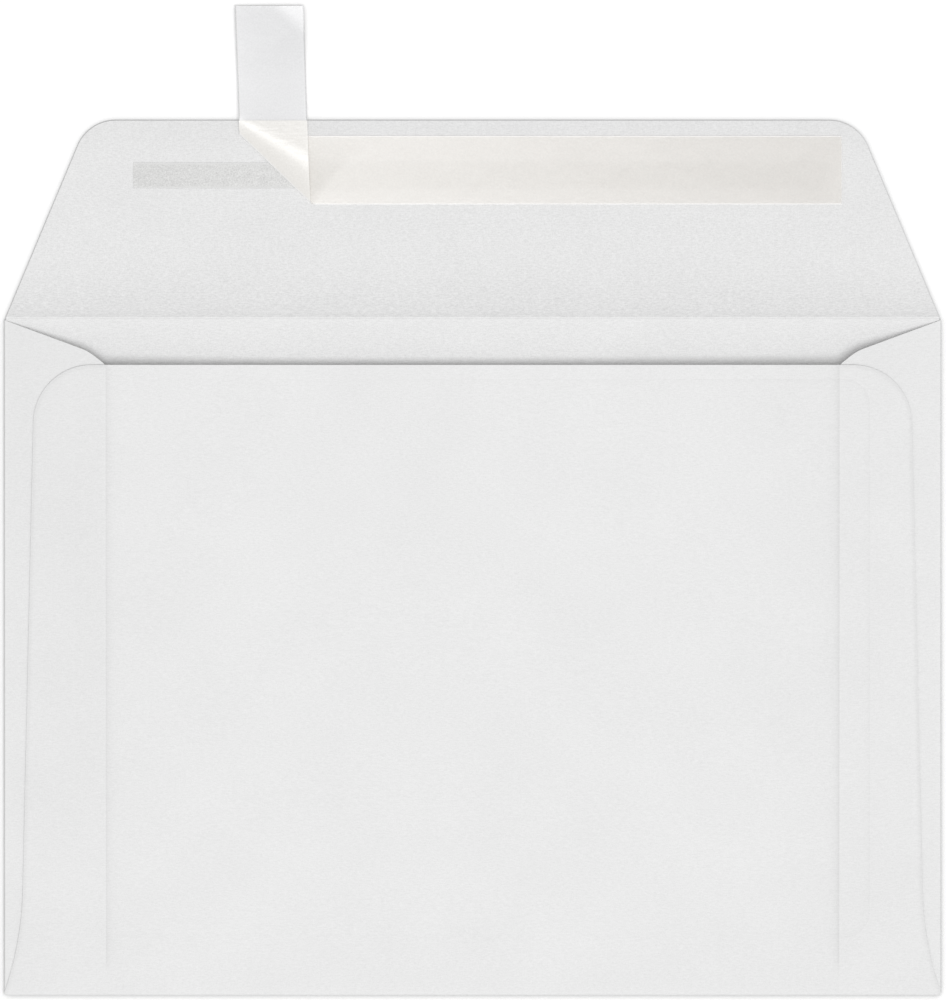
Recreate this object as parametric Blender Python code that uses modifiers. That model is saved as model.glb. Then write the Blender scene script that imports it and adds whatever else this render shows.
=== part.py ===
"""A full-face window envelope: one folded paper blank with its film, gum lines, sealing strip and liner.

Metres, +Z up. The envelope lies on its front with the seal flap open and its back uppermost. The origin
is the middle of the seal-flap crease, on the underside. +X runs along the crease, and +Y points across
the open flap, away from the pocket.
"""

import math

import bmesh
import bpy
from mathutils import Matrix, Vector

# Folded envelope
ENVELOPE_WIDTH = 0.18415
ENVELOPE_HEIGHT = 0.13335
THROAT_DEPTH = 0.0094

# Seal flap
SEAL_FLAP_HEIGHT = 0.0387
SEAL_FLAP_TOP_INSET = 0.0165
SEAL_FLAP_CORNER_RADIUS = 0.0081

# Side flaps, turned in under the back panel
SIDE_FLAP_WIDTH = 0.0200
SIDE_FLAP_TOP_START = 0.0004
SIDE_FLAP_BEND_INSET = 0.0034
SIDE_FLAP_BEND_FALL = 0.0067
SIDE_FLAP_BEND_RADIUS = 0.0100
SIDE_FLAP_TOP_FALL = 0.0094
SIDE_FLAP_TOP_RADIUS = 0.0014
SIDE_FLAP_BOTTOM_RISE = 0.0040
SIDE_FLAP_BOTTOM_RADIUS = 0.0030

# Back panel, turned up from the bottom crease
BACK_PANEL_TOP_INSET = 0.0060
BACK_PANEL_BOTTOM_INSET = 0.0032
BACK_PANEL_FLARE_HEIGHT = 0.0200
BACK_PANEL_CORNER_RADIUS = 0.0115

# Window cut out of the front panel, and the film behind it
WINDOW_SIDE_MARGIN = 0.0140
WINDOW_TOP_MARGIN = 0.0122
WINDOW_BOTTOM_MARGIN = 0.0114
WINDOW_CORNER_RADIUS = 0.0050
FILM_SIDE_LAP = 0.0050
FILM_TOP_LAP = 0.0026
FILM_BOTTOM_LAP = 0.0050
WINDOW_GUM_INSET = 0.0006

# Gummed side seams
SEAM_GUM_INNER_INSET = 0.0035
SEAM_GUM_OUTER_INSET = 0.0026
SEAM_GUM_END_INSET = 0.0080

# Self-sealing strip on the flap
STRIP_WIDTH = 0.0052
STRIP_TOP_MARGIN = 0.0082
STRIP_LEFT_MARGIN = 0.0088
STRIP_RIGHT_MARGIN = 0.0061

# Liner over the strip, its left end peeled back and folded across itself
LINER_TOP_LAP = 0.0052
LINER_BOTTOM_LAP = 0.0031
LINER_LEFT_LAP = 0.0046
LINER_RIGHT_LAP = 0.0031
LINER_PEELED_LENGTH = 0.0258
LINER_FOLD_ANGLE = math.radians(44)
LINER_FOLD_RADIUS = 0.0004
LINER_FOLD_TURN = math.radians(158)
LINER_SPRING_RADIUS = 0.0077
LINER_SPRING_GROWTH = 0.8
LINER_SPRING_LEAST_RADIUS = 0.0028
LINER_SPRING_TURN = math.radians(25)

# Thicknesses
PAPER_THICKNESS = 0.00014
FILM_THICKNESS = 0.00004
GUM_THICKNESS = 0.00003
STRIP_THICKNESS = 0.00010
LINER_THICKNESS = 0.00006
LAYER_GAP = 0.00010

# How far the side flaps spring up at the throat, and how far the back panel sags between them
POCKET_SPRING = 0.0044
POCKET_SAG = 0.0004

# How finely the sheets are divided where they bend
FOLD_STEPS = 6
PANEL_COLUMNS = 4
SEAM_COLUMNS = 3
PANEL_ROWS = 14
SPRING_STEPS = 7
LINER_SPRING_REACH = 0.0084
LINER_CROSS_CUTS = (-0.0125, -0.0062, 0.0, 0.0062, 0.0125)
FLARE_STEPS = 5
ARC_STEP = math.radians(11)

# Levels, from the underside of the front panel up
paper_middle = PAPER_THICKNESS / 2
window_gum_bottom = PAPER_THICKNESS + LAYER_GAP
film_bottom = window_gum_bottom + GUM_THICKNESS + LAYER_GAP
film_top = film_bottom + FILM_THICKNESS
strip_bottom = PAPER_THICKNESS + LAYER_GAP
liner_bottom = strip_bottom + STRIP_THICKNESS + LAYER_GAP
seam_rise = PAPER_THICKNESS + LAYER_GAP + GUM_THICKNESS + LAYER_GAP

# Folds, measured to the middle of the paper: the side folds clear the film, the bottom one the side flaps
side_fold_radius = (film_top + LAYER_GAP) / 2
bottom_fold_radius = side_fold_radius + seam_rise / 2
side_crease = ENVELOPE_WIDTH / 2 - paper_middle - side_fold_radius
bottom_crease = paper_middle + bottom_fold_radius - ENVELOPE_HEIGHT
side_fold_length = math.pi * side_fold_radius
bottom_fold_length = math.pi * bottom_fold_radius
side_flap_edge = ENVELOPE_WIDTH / 2 - SIDE_FLAP_WIDTH
back_panel_corner = ENVELOPE_WIDTH / 2 - BACK_PANEL_TOP_INSET
seal_flap_corner = ENVELOPE_WIDTH / 2 - SEAL_FLAP_TOP_INSET

# Edges of the window and of the adhesive strip
window_side = ENVELOPE_WIDTH / 2 - WINDOW_SIDE_MARGIN
window_top = -WINDOW_TOP_MARGIN
window_bottom = WINDOW_BOTTOM_MARGIN - ENVELOPE_HEIGHT
strip_left = STRIP_LEFT_MARGIN - seal_flap_corner
strip_right = seal_flap_corner - STRIP_RIGHT_MARGIN
strip_top = SEAL_FLAP_HEIGHT - STRIP_TOP_MARGIN
strip_low = strip_top - STRIP_WIDTH


def evenly(start, end, steps):
    """The places that divide a stretch into equal steps, both ends included."""
    return [start + (end - start) * i / steps for i in range(steps + 1)]


def rounded(corners):
    """The points of an outline given as (x, y, radius) corners, each rounded by an arc of its radius."""
    points = []
    for i, (x, y, radius) in enumerate(corners):
        corner = Vector((x, y))
        if radius == 0:
            points.append(corner)
            continue
        back = (Vector(corners[i - 1][:2]) - corner).normalized()
        onward = (Vector(corners[(i + 1) % len(corners)][:2]) - corner).normalized()
        half_angle = back.angle(onward) / 2
        centre = corner + (back + onward).normalized() * radius / math.sin(half_angle)
        spoke = corner + back * radius / math.tan(half_angle) - centre
        left_turn = back.y * onward.x - back.x * onward.y
        turn = math.copysign(math.pi - 2 * half_angle, left_turn)
        steps = math.ceil(abs(turn) / ARC_STEP)
        points += [centre + Matrix.Rotation(a, 2) @ spoke for a in evenly(0, turn, steps)]
    return points


def sheet_mesh(name, outline, cuts, shape):
    """A flat outline divided along cutting lines, each (point, normal), then bent by shape(x, y)."""
    sheet = bmesh.new()
    sheet.faces.new([sheet.verts.new((p.x, p.y, 0)) for p in outline])
    for point, normal in cuts:
        everything = sheet.verts[:] + sheet.edges[:] + sheet.faces[:]
        bmesh.ops.bisect_plane(sheet, geom=everything, dist=1e-7, plane_co=point, plane_no=normal)
    for vertex in sheet.verts:
        vertex.co = shape(vertex.co.x, vertex.co.y)
    bmesh.ops.recalc_face_normals(sheet, faces=sheet.faces[:])
    mesh = bpy.data.meshes.new(name)
    sheet.to_mesh(mesh)
    sheet.free()
    mesh.shade_smooth()
    return mesh


def add_thickness(thing, thickness):
    """Gives a bent sheet its thickness, half to each side."""
    solidify = thing.modifiers.new("thickness", "SOLIDIFY")
    solidify.thickness = thickness
    solidify.offset = 0
    solidify.use_even_offset = True
    solidify.use_quality_normals = True


def pocket_spring(x, y):
    """How far the back of the pocket stands up at a place, above where it would lie pressed flat.

    Across the width it rises with the side flaps, which stay straight, and sags a little between them.
    It rises from nothing at the bottom crease, steeply at first, to its full height at the throat.
    """
    if abs(x) > side_flap_edge:
        lift = POCKET_SPRING * max(0, side_crease - abs(x)) / (side_crease - side_flap_edge)
    else:
        lift = POCKET_SPRING - POCKET_SAG * (1 - (x / side_flap_edge) ** 2)
    up = min(1, max(0, 1 - y / bottom_crease))
    return lift * up * (2 - up)


def back_panel_middle(x, y):
    """Height of the middle of the back panel's paper."""
    return paper_middle + 2 * bottom_fold_radius + pocket_spring(x, y)


def around_fold(distance, radius):
    """Where a strip of paper is, that far past the crease: how far outwards, and how far up."""
    if distance < math.pi * radius:
        return radius * math.sin(distance / radius), radius * (1 - math.cos(distance / radius))
    return math.pi * radius - distance, 2 * radius


def folded(x, y):
    """Where a point of the flat blank goes when the envelope is folded."""
    if y < bottom_crease:
        outwards, up = around_fold(bottom_crease - y, bottom_fold_radius)
        place = bottom_crease - outwards
        spring = pocket_spring(x, place) if outwards < 0 else 0
        return Vector((x, place, paper_middle + up + spring))
    if x > side_crease:
        outwards, up = around_fold(x - side_crease, side_fold_radius)
        place = side_crease + outwards
        spring = pocket_spring(place, y) if outwards < 0 else 0
        return Vector((place, y, paper_middle + up + spring))
    return Vector((x, y, paper_middle))


def blank_x(place):
    """The flat blank's x of a place on the turned-in right side flap."""
    return side_crease + side_fold_length + side_crease - place


def blank_y(place):
    """The flat blank's y of a place on the turned-up back panel."""
    return bottom_crease - bottom_fold_length + bottom_crease - place


def back_panel_side(up):
    """Where the back panel's side edge is, that far above the bottom crease.

    It tapers straight from the throat down, and flares out to the full width just above the crease.
    """
    panel_height = -THROAT_DEPTH - bottom_crease
    taper = (BACK_PANEL_TOP_INSET - BACK_PANEL_BOTTOM_INSET) * up / panel_height
    flare = max(0, 1 - up / BACK_PANEL_FLARE_HEIGHT) ** 2
    return ENVELOPE_WIDTH / 2 - BACK_PANEL_BOTTOM_INSET * (1 - flare) - taper


def blank_outline():
    """The right half of the flat blank, with half of the window open on the middle line."""
    flap_end = blank_x(side_flap_edge)
    flap_bend = blank_x(side_flap_edge + SIDE_FLAP_BEND_INSET)
    throat = blank_y(-THROAT_DEPTH)
    flare = [
        (back_panel_side(up), blank_y(bottom_crease + up), 0)
        for up in evenly(0, BACK_PANEL_FLARE_HEIGHT, FLARE_STEPS)
    ]
    outer = rounded([
        (0, SEAL_FLAP_HEIGHT, 0),
        (seal_flap_corner, SEAL_FLAP_HEIGHT, SEAL_FLAP_CORNER_RADIUS),
        (side_crease, 0, 0),
        (side_crease, -SIDE_FLAP_TOP_START, 0),
        (flap_bend, -SIDE_FLAP_BEND_FALL, SIDE_FLAP_BEND_RADIUS),
        (flap_end, -SIDE_FLAP_TOP_FALL, SIDE_FLAP_TOP_RADIUS),
        (flap_end, bottom_crease + SIDE_FLAP_BOTTOM_RISE, SIDE_FLAP_BOTTOM_RADIUS),
        (side_crease, bottom_crease, 0),
        *flare,
        (back_panel_corner, throat, BACK_PANEL_CORNER_RADIUS),
        (0, throat, 0),
    ])
    window = rounded([
        (0, window_bottom, 0),
        (window_side, window_bottom, WINDOW_CORNER_RADIUS),
        (window_side, window_top, WINDOW_CORNER_RADIUS),
        (0, window_top, 0),
    ])
    return outer + window


def blank_cuts():
    """The lines along which the blank can bend: its folds, and a grid over the sprung panels."""
    seam_columns = evenly(side_flap_edge, side_crease, SEAM_COLUMNS)
    rows = evenly(bottom_crease, 0, PANEL_ROWS)
    columns = evenly(0, side_flap_edge, PANEL_COLUMNS)[1:-1] + seam_columns
    columns += evenly(side_crease, side_crease + side_fold_length, FOLD_STEPS)[1:]
    columns += [blank_x(place) for place in seam_columns[1:-1]]
    lines = rows + evenly(bottom_crease, bottom_crease - bottom_fold_length, FOLD_STEPS)[1:]
    lines += [blank_y(place) for place in rows[1:-1]]
    return [((x, 0, 0), (1, 0, 0)) for x in columns] + [((0, y, 0), (0, 1, 0)) for y in lines]


def make_envelope_paper():
    """Front panel, side flaps, back panel and seal flap: one sheet of paper, folded."""
    mesh = sheet_mesh("envelope_paper", blank_outline(), blank_cuts(), folded)
    blank = bpy.data.objects.new("envelope_paper", mesh)
    mirror = blank.modifiers.new("other half", "MIRROR")
    mirror.merge_threshold = 1e-5
    add_thickness(blank, PAPER_THICKNESS)
    return blank


def flat_outline(name, outlines, bottom, thickness):
    """A flat piece cut to closed outlines, the first its edge and the others holes in it."""
    curve = bpy.data.curves.new(name, "CURVE")
    curve.dimensions = "2D"
    curve.fill_mode = "BOTH"
    curve.extrude = thickness / 2
    for outline in outlines:
        spline = curve.splines.new("POLY")
        spline.points.add(len(outline) - 1)
        for point, place in zip(spline.points, outline):
            point.co = (place.x, place.y, 0, 1)
        spline.use_cyclic_u = True
    piece = bpy.data.objects.new(name, curve)
    piece.location.z = bottom + thickness / 2
    return piece


def box_outline(left, right, low, high, radius=0):
    """A rectangle, with its corners rounded if a radius is given."""
    places = [(left, low), (right, low), (right, high), (left, high)]
    return rounded([(x, y, radius) for x, y in places])


def window_outline(margin):
    """The window's outline, that much larger all round."""
    half = window_side + margin
    radius = WINDOW_CORNER_RADIUS + margin
    return box_outline(-half, half, window_bottom - margin, window_top + margin, radius)


def film_outline(inset):
    """The film's outline, that much smaller all round."""
    half = window_side + FILM_SIDE_LAP - inset
    low = window_bottom - FILM_BOTTOM_LAP + inset
    high = window_top + FILM_TOP_LAP - inset
    return box_outline(-half, half, low, high)


def make_window_film():
    """Clear film, glued behind the window."""
    return flat_outline("window_film", [film_outline(0)], film_bottom, FILM_THICKNESS)


def make_window_gum():
    """The line of gum round the window that holds the film to the front panel."""
    outlines = [film_outline(WINDOW_GUM_INSET), window_outline(WINDOW_GUM_INSET)]
    return flat_outline("window_gum", outlines, window_gum_bottom, GUM_THICKNESS)


def make_seam_gum(name, side):
    """The gum between the back panel and one side flap. side is 1 for the right seam, -1 for the left."""
    inner = side_flap_edge + SEAM_GUM_INNER_INSET
    columns = evenly(inner, back_panel_corner - SEAM_GUM_OUTER_INSET, SEAM_COLUMNS)
    rows = evenly(
        SEAM_GUM_END_INSET - ENVELOPE_HEIGHT, -THROAT_DEPTH - SEAM_GUM_END_INSET, PANEL_ROWS
    )
    drop = paper_middle + LAYER_GAP + GUM_THICKNESS / 2

    def under_back_panel(x, y):
        return Vector((side * x, y, back_panel_middle(x, y) - drop))

    cuts = [((x, 0, 0), (1, 0, 0)) for x in columns] + [((0, y, 0), (0, 1, 0)) for y in rows]
    outline = box_outline(columns[0], columns[-1], rows[0], rows[-1])
    gum = bpy.data.objects.new(name, sheet_mesh(name, outline, cuts, under_back_panel))
    add_thickness(gum, GUM_THICKNESS)
    return gum


def make_seal_adhesive():
    """The strip of tacky adhesive along the seal flap."""
    outline = box_outline(strip_left, strip_right, strip_low, strip_top)
    return flat_outline("seal_adhesive", [outline], strip_bottom, STRIP_THICKNESS)


def along_bends(distance, bends):
    """Where a strip is, that far along bends given as (radius, turn), and straight after the last."""
    run, rise, heading = 0, 0, 0
    for radius, turn in bends:
        turned = min(turn, max(0, distance) / radius)
        run += radius * (math.sin(heading + turned) - math.sin(heading))
        rise += radius * (math.cos(heading) - math.cos(heading + turned))
        heading += turned
        distance -= turned * radius
    return run + distance * math.cos(heading), rise + distance * math.sin(heading)


def make_release_liner():
    """The liner: stuck down over the strip on the right, folded slantwise and lifted on the left."""
    left = strip_left - LINER_LEFT_LAP
    right = strip_right + LINER_RIGHT_LAP
    low = strip_low - LINER_BOTTOM_LAP
    top = strip_top + LINER_TOP_LAP
    along = Vector((math.cos(LINER_FOLD_ANGLE), -math.sin(LINER_FOLD_ANGLE)))
    across = Vector((along.y, -along.x))
    fold_start = Vector((left + LINER_PEELED_LENGTH, top)) - across * LINER_FOLD_RADIUS
    fold_length = LINER_FOLD_RADIUS * LINER_FOLD_TURN

    def peeled(x, y):
        offset = Vector((x, y)) - fold_start
        past_fold = offset.dot(across)
        growing_radius = LINER_SPRING_RADIUS + LINER_SPRING_GROWTH * offset.dot(along)
        spring_radius = max(LINER_SPRING_LEAST_RADIUS, growing_radius)
        bends = [(LINER_FOLD_RADIUS, LINER_FOLD_TURN), (spring_radius, LINER_SPRING_TURN)]
        run, rise = along_bends(past_fold, bends) if past_fold > 0 else (past_fold, 0)
        place = fold_start + along * offset.dot(along) + across * run
        return Vector((place.x, place.y, liner_bottom + LINER_THICKNESS / 2 + rise))

    distances = evenly(0, fold_length, FOLD_STEPS)
    distances += evenly(fold_length, fold_length + LINER_SPRING_REACH, SPRING_STEPS)[1:]
    cuts = [((fold_start + across * d).to_3d(), across.to_3d()) for d in distances]
    cuts += [((fold_start + along * d).to_3d(), along.to_3d()) for d in LINER_CROSS_CUTS]
    outline = box_outline(left, right, low, top)
    liner = bpy.data.objects.new(
        "release_liner", sheet_mesh("release_liner", outline, cuts, peeled)
    )
    add_thickness(liner, LINER_THICKNESS)
    return liner


def material(name, colour, roughness, alpha=1.0):
    """A plain finish. Colours are linear, as Blender's sockets take them."""
    finish = bpy.data.materials.new(name)
    finish.use_nodes = True
    surface = finish.node_tree.nodes["Principled BSDF"]
    surface.inputs["Base Color"].default_value = (*colour, 1)
    surface.inputs["Roughness"].default_value = roughness
    surface.inputs["Metallic"].default_value = 0
    surface.inputs["Alpha"].default_value = alpha
    finish.diffuse_color = (*colour, alpha)
    return finish


def main():
    for old in list(bpy.data.objects):
        bpy.data.objects.remove(old)
    paper = material("white paper", (0.82, 0.82, 0.82), 0.75)
    film = material("clear film", (0.90, 0.92, 0.93), 0.08, 0.2)
    gum = material("dried gum", (0.74, 0.72, 0.65), 0.5, 0.7)
    strip = material("tacky strip", (0.71, 0.71, 0.70), 0.45)
    liner = material("glazed liner", (0.84, 0.81, 0.76), 0.25, 0.85)
    pieces = [
        (make_envelope_paper(), paper),
        (make_window_film(), film),
        (make_window_gum(), gum),
        (make_seam_gum("seam_gum_right", 1), gum),
        (make_seam_gum("seam_gum_left", -1), gum),
        (make_seal_adhesive(), strip),
        (make_release_liner(), liner),
    ]
    envelope = bpy.data.collections.new("window envelope")
    bpy.context.scene.collection.children.link(envelope)
    for piece, finish in pieces:
        piece.data.materials.append(finish)
        envelope.objects.link(piece)


main()
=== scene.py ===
"""The looks of a window envelope that lies on its front, its seal flap open and its liner part peeled.

Metres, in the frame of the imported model: +X along the seal-flap crease, +Y across the open flap, +Z up.
"""

import math

import bmesh
import bpy
from mathutils import Matrix, Vector


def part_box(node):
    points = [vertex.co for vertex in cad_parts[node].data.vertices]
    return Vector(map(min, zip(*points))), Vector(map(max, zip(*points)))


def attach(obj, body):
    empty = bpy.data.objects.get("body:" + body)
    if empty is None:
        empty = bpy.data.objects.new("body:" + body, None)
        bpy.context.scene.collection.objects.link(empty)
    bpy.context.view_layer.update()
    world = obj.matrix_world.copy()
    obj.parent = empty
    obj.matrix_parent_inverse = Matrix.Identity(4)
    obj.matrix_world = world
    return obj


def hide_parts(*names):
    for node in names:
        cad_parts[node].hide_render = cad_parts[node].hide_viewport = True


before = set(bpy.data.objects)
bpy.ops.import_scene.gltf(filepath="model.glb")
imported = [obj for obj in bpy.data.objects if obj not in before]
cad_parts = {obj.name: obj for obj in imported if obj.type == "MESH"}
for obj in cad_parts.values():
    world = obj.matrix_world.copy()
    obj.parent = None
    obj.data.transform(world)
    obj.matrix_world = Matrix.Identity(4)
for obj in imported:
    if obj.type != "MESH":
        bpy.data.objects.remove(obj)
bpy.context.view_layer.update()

# The envelope is one sheet of smooth white paper, die-cut with its window, its sides folded in and its
# bottom folded up over them. The seal flap was creased over once and has been opened flat again. The
# gummed flaps below press their edges into the back panel.
paper_low, paper_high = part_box("envelope_paper")
film_low, film_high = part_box("window_film")
PAPER_THICKNESS = 0.00014
LAYER_GAP = 0.00010
GUM_THICKNESS = 0.00003
THROAT_DEPTH = 0.0094
SEAL_FLAP_TOP_INSET = 0.0165
SEAL_FLAP_CORNER_RADIUS = 0.0081
SIDE_FLAP_WIDTH = 0.0200
SIDE_FLAP_TOP_START = 0.0004
SIDE_FLAP_BEND_INSET = 0.0034
SIDE_FLAP_BEND_FALL = 0.0067
SIDE_FLAP_BEND_RADIUS = 0.0100
SIDE_FLAP_TOP_FALL = 0.0094
SIDE_FLAP_TOP_RADIUS = 0.0014
SIDE_FLAP_BOTTOM_RISE = 0.0040
SIDE_FLAP_BOTTOM_RADIUS = 0.0030
BACK_PANEL_TOP_INSET = 0.0060
BACK_PANEL_BOTTOM_INSET = 0.0032
BACK_PANEL_FLARE_HEIGHT = 0.0200
BACK_PANEL_CORNER_RADIUS = 0.0115
FILM_SIDE_LAP = 0.0050
FILM_TOP_LAP = 0.0026
FILM_BOTTOM_LAP = 0.0050
WINDOW_CORNER_RADIUS = 0.0050
POCKET_SPRING = 0.0044
POCKET_SAG = 0.0013
PRESSED_FROM = 0.004
COCKLES_PER_METRE = 26.0
HELD_BESIDE_FLAP = 0.02
HELD_BESIDE_CREASE = 0.004
GROOVE_PLACE = 0.00004
ARC_STEP = math.radians(5)
SHARP_ANGLE = math.radians(40)
LEAST_EXPONENT = -60

half_width = paper_high.x
bottom_edge = paper_low.y
flap_top = paper_high.y
paper_middle = PAPER_THICKNESS / 2
side_fold_radius = (film_high.z + LAYER_GAP) / 2
bottom_fold_radius = side_fold_radius + PAPER_THICKNESS / 2 + LAYER_GAP + GUM_THICKNESS / 2
side_crease = half_width - paper_middle - side_fold_radius
bottom_crease = bottom_edge + paper_middle + bottom_fold_radius
side_flap_edge = half_width - SIDE_FLAP_WIDTH
window_side = film_high.x - FILM_SIDE_LAP
window_top = film_high.y - FILM_TOP_LAP
window_bottom = film_low.y + FILM_BOTTOM_LAP


def evenly(start, end, longest_step):
    """The places that divide a stretch into equal steps no longer than that, both ends included."""
    steps = math.ceil(abs(end - start) / longest_step)
    return [start + (end - start) * i / steps for i in range(steps + 1)]


def rounded(corners):
    """The points of an outline given as (x, y, radius) corners, each rounded by an arc of its radius."""
    points = []
    for i, (x, y, radius) in enumerate(corners):
        corner = Vector((x, y))
        if radius == 0:
            points.append(corner)
            continue
        back = (Vector(corners[i - 1][:2]) - corner).normalized()
        onward = (Vector(corners[(i + 1) % len(corners)][:2]) - corner).normalized()
        half_angle = back.angle(onward) / 2
        centre = corner + (back + onward).normalized() * radius / math.sin(half_angle)
        spoke = corner + back * radius / math.tan(half_angle) - centre
        left_turn = back.y * onward.x - back.x * onward.y
        turn = math.copysign(math.pi - 2 * half_angle, left_turn)
        points += [centre + Matrix.Rotation(a, 2) @ spoke for a in evenly(0, turn, ARC_STEP)]
    return points


def cut_sheet(outline, cuts):
    """A bmesh of a flat outline, divided along cutting lines that are given as (point, normal)."""
    sheet = bmesh.new()
    sheet.faces.new([sheet.verts.new((p.x, p.y, 0)) for p in outline])
    for point, normal in cuts:
        everything = sheet.verts[:] + sheet.edges[:] + sheet.faces[:]
        bmesh.ops.bisect_plane(sheet, geom=everything, dist=1e-7, plane_co=point, plane_no=normal)
    return sheet


def upright_cuts(places):
    return [((x, 0, 0), (1, 0, 0)) for x in places]


def level_cuts(places):
    return [((0, y, 0), (0, 1, 0)) for y in places]


def piece_from(sheet, name):
    """A new object from a bmesh, shaded smooth, its faces all turned the same way, upwards."""
    bmesh.ops.recalc_face_normals(sheet, faces=sheet.faces[:])
    mesh = bpy.data.meshes.new(name)
    sheet.to_mesh(mesh)
    sheet.free()
    mesh.shade_smooth()
    piece = bpy.data.objects.new(name, mesh)
    bpy.context.scene.collection.objects.link(piece)
    return piece


def finished(piece):
    """Puts the result of a piece's modifiers in its mesh, and removes them."""
    evaluated = piece.evaluated_get(bpy.context.evaluated_depsgraph_get())
    mesh = bpy.data.meshes.new_from_object(evaluated)
    piece.modifiers.clear()
    piece.data = mesh
    mesh.name = piece.name
    mesh.shade_smooth()
    mesh.set_sharp_from_angle(angle=SHARP_ANGLE)
    return piece


class Wire:
    """A socket of a node tree that takes part in Python sums. With no socket, it only starts a tree."""

    def __init__(self, tree, socket=None):
        self.tree = tree
        self.socket = socket

    def node(self, kind, settings, sockets, output=0):
        """Adds a node with these settings and socket values or links, and returns one of its outputs."""
        node = self.tree.nodes.new(kind)
        for setting, value in settings.items():
            setattr(node, setting, value)
        for socket, value in sockets.items():
            if isinstance(value, Wire):
                self.tree.links.new(value.socket, node.inputs[socket])
            else:
                node.inputs[socket].default_value = value
        return Wire(self.tree, None if output is None else node.outputs[output])

    def sum(self, operation, *values):
        settings = {"operation": operation}
        return self.node("ShaderNodeMath", settings, dict(enumerate(values)))

    def __add__(self, other):
        return self.sum("ADD", self, other)

    def __radd__(self, other):
        return self.sum("ADD", other, self)

    def __sub__(self, other):
        return self.sum("SUBTRACT", self, other)

    def __rsub__(self, other):
        return self.sum("SUBTRACT", other, self)

    def __mul__(self, other):
        return self.sum("MULTIPLY", self, other)

    def __rmul__(self, other):
        return self.sum("MULTIPLY", other, self)

    def __truediv__(self, other):
        return self.sum("DIVIDE", self, other)

    def __pow__(self, other):
        return self.sum("POWER", self, other)

    def __rpow__(self, other):
        return self.sum("POWER", other, self)

    def __gt__(self, other):
        return self.sum("GREATER_THAN", self, other)

    def __lt__(self, other):
        return self.sum("LESS_THAN", self, other)

    def __abs__(self):
        return self.sum("ABSOLUTE", self)

    def between(self, low, high):
        return self.sum("MINIMUM", self.sum("MAXIMUM", self, low), high)

    def fading(self, length):
        """1 where this is 0 or less, and less and less beyond: a third after that length."""
        return math.e ** (self.sum("MAXIMUM", self, 0) / length * -1)

    def bell(self, width):
        """1 where this is 0, and nearly nothing two widths to either side."""
        part = self / width
        return math.e ** (part * part * -1).between(LEAST_EXPONENT, 0)

    def axes(self):
        """The x, y and z of a vector."""
        split = self.node("ShaderNodeSeparateXYZ", {}, {0: self}).socket.node
        return [Wire(self.tree, output) for output in split.outputs]

    def blend(self, colour_0, colour_1):
        """From the first colour at 0 to the second at 1."""
        settings = {"data_type": "RGBA"}
        return self.node("ShaderNodeMix", settings, {0: self, 6: colour_0, 7: colour_1}, output=2)

    def noise(self, scale, detail=2.0):
        """Noise about 0.5 at the places that this vector gives."""
        sockets = {"Vector": self, "Scale": scale, "Detail": detail}
        return self.node("ShaderNodeTexNoise", {"noise_dimensions": "3D"}, sockets)

    def scaled(self, factor):
        """This colour or vector, times a number."""
        settings = {"operation": "SCALE"}
        return self.node("ShaderNodeVectorMath", settings, {0: self, "Scale": factor})

    def stretched(self, x, y, z):
        """This vector with each axis multiplied by that much."""
        settings = {"operation": "MULTIPLY"}
        return self.node("ShaderNodeVectorMath", settings, {0: self, 1: (x, y, z)})


def smooth_step(wire, start, end):
    """0 up to start, 1 from end, and a smooth rise between them."""
    settings = {"interpolation_type": "SMOOTHSTEP"}
    return wire.node("ShaderNodeMapRange", settings, {"Value": wire, 1: start, 2: end})


def rounded_box_inside(x, y, centre_y, half_x, half_y, radius):
    """How far a place is inside a rounded rectangle that is centred on x = 0."""
    across = abs(x) - half_x + radius
    along = abs(y - centre_y) - (half_y - radius)
    outer_across = across.sum("MAXIMUM", across, 0)
    outer_along = along.sum("MAXIMUM", along, 0)
    corner = (outer_across * outer_across + outer_along * outer_along) ** 0.5
    inner = across.sum("MINIMUM", across.sum("MAXIMUM", across, along), 0)
    return radius - corner - inner


def window_inside(x, y):
    """How far a place is inside the window's outline."""
    middle = (window_top + window_bottom) / 2
    half_height = (window_top - window_bottom) / 2
    return rounded_box_inside(x, y, middle, window_side, half_height, WINDOW_CORNER_RADIUS)


def open_tree(tree, sizes):
    """Gives a geometry tree its named inputs. Returns a wire to start from, the geometry and the inputs."""
    tree.interface.new_socket("Geometry", in_out="INPUT", socket_type="NodeSocketGeometry")
    tree.interface.new_socket("Geometry", in_out="OUTPUT", socket_type="NodeSocketGeometry")
    for name in sizes:
        tree.interface.new_socket(name, in_out="INPUT", socket_type="NodeSocketFloat")
    start = Wire(tree)
    outputs = start.node("NodeGroupInput", {}, {}).socket.node.outputs
    return start, Wire(tree, outputs["Geometry"]), {name: Wire(tree, outputs[name]) for name in sizes}


def close_tree(start, geometry, place, finish):
    """Moves every point to its place, realizes the result and gives it its material."""
    moved = start.node("GeometryNodeSetPosition", {}, {"Geometry": geometry, "Position": place})
    real = start.node("GeometryNodeRealizeInstances", {}, {"Geometry": moved})
    made = start.node("GeometryNodeSetMaterial", {}, {"Geometry": real, "Material": finish})
    start.node("NodeGroupOutput", {}, {"Geometry": made}, output=None)


def around_fold(past, radius):
    """Paper that far past a crease: how far outwards it is, how far up, and how far back inwards."""
    turn = (past / radius).between(0, math.pi)
    inwards = past.sum("MAXIMUM", past - math.pi * radius, 0)
    return radius * turn.sum("SINE", turn), radius - radius * turn.sum("COSINE", turn), inwards


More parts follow.
